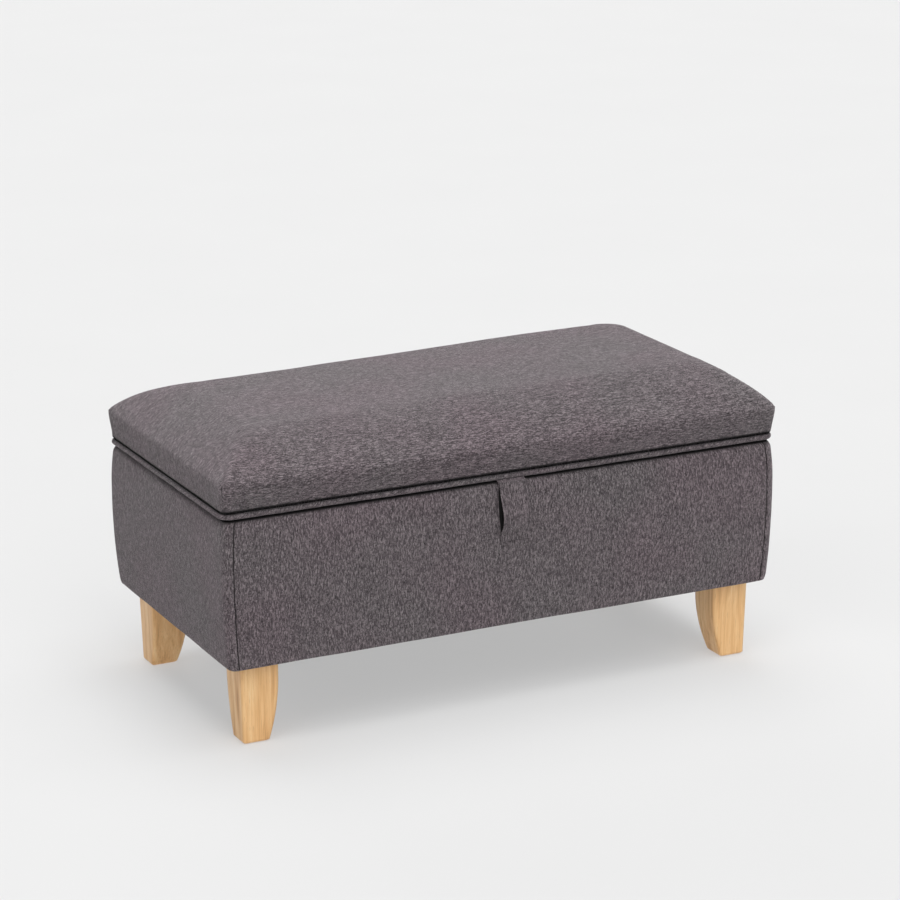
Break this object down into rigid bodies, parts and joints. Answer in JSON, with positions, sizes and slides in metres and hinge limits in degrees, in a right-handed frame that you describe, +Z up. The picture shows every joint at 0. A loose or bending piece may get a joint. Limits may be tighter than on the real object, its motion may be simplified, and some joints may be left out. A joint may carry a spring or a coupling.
{
  "type": "storage bench",
  "caption": "Rectangular upholstered storage bench: padded hinged lid with corded seam and fabric pull tab on a padded box with square tapered wooden legs and parallelogram lid stays.",
  "frame": {"origin": "on the floor, under the middle of the bench", "axes": "+X along the length to the right as seen from the front, -Y towards the front with the pull tab, +Z up"},
  "size_m": [0.8, 0.4193, 0.403],
  "materials": {
    "cover_fabric": "matte",
    "lining_fabric": "matte",
    "dust_cloth": "matte",
    "foam": "matte",
    "plywood": "matte",
    "leg_wood": "satin",
    "zinc_steel": "satin",
    "dark_steel": "satin",
    "glide_plastic": "matte"
  },
  "bodies": {
    "base": {"front_panel": "plywood", "back_panel": "plywood", "left_panel": "plywood", "right_panel": "plywood", "bottom_panel": "plywood", "corner_blocks": "plywood", "panel_screws": "zinc_steel", "front_padding": "foam", "back_padding": "foam", "left_padding": "foam", "right_padding": "foam", "base_cover": "cover_fabric", "box_lining": "lining_fabric", "floor_lining": "lining_fabric", "dust_cover": "dust_cloth", "leg_front_left": "leg_wood", "leg_front_right": "leg_wood", "leg_back_left": "leg_wood", "leg_back_right": "leg_wood", "leg_bolts": "zinc_steel", "tee_nuts": "zinc_steel", "leg_glides": "glide_plastic", "hinge_base_leaves": "zinc_steel", "hinge_pins": "dark_steel", "hinge_base_screws": "zinc_steel", "left_stay_plate": "zinc_steel", "right_stay_plate": "zinc_steel", "stay_plate_screws": "zinc_steel"},
    "lid": {"lid_board": "plywood", "lid_foam": "foam", "lid_cover": "cover_fabric", "lid_piping": "cover_fabric", "lid_lining": "lining_fabric", "tab_tail": "cover_fabric", "hinge_lid_leaves": "zinc_steel", "hinge_lid_screws": "zinc_steel", "left_lid_bracket": "zinc_steel", "right_lid_bracket": "zinc_steel", "lid_bracket_screws": "zinc_steel"},
    "pull_tab": {"pull_tab": "cover_fabric"},
    "left_arm": {"left_stay_arm": "zinc_steel", "left_knee_rivet": "dark_steel"},
    "left_link": {"left_stay_link": "zinc_steel"},
    "right_arm": {"right_stay_arm": "zinc_steel", "right_knee_rivet": "dark_steel"},
    "right_link": {"right_stay_link": "zinc_steel"}
  },
  "joints": [
    {"name": "lid_hinge", "type": "hinge", "parent": "base", "child": "lid", "pos_m": [0, 0.203, 0.3052], "axis": [-1, 0, 0], "range_deg": [0, 90]},
    {"name": "pull_tab_swing", "type": "hinge", "parent": "lid", "child": "pull_tab", "pos_m": [0.002, -0.2018, 0.3056], "axis": [-1, 0, 0], "range_deg": [0, 80]},
    {"name": "left_stay_arm_pivot", "type": "hinge", "parent": "base", "child": "left_arm", "pos_m": [-0.3717, 0.118, 0.2202], "axis": [-1, 0, 0], "range_deg": [0, 90]},
    {"name": "left_stay_knee", "type": "hinge", "parent": "left_arm", "child": "left_link", "pos_m": [-0.3717, 0.008, 0.2052], "axis": [1, 0, 0], "range_deg": [0, 90]},
    {"name": "right_stay_arm_pivot", "type": "hinge", "parent": "base", "child": "right_arm", "pos_m": [0.3717, 0.118, 0.2202], "axis": [-1, 0, 0], "range_deg": [0, 90]},
    {"name": "right_stay_knee", "type": "hinge", "parent": "right_arm", "child": "right_link", "pos_m": [0.3717, 0.008, 0.2052], "axis": [1, 0, 0], "range_deg": [0, 90]}
  ],
  "couplings": [
    {"joint": "left_stay_arm_pivot", "follows": "lid_hinge", "ratio": 1},
    {"joint": "left_stay_knee", "follows": "lid_hinge", "ratio": 1},
    {"joint": "right_stay_arm_pivot", "follows": "lid_hinge", "ratio": 1},
    {"joint": "right_stay_knee", "follows": "lid_hinge", "ratio": 1}
  ]
}
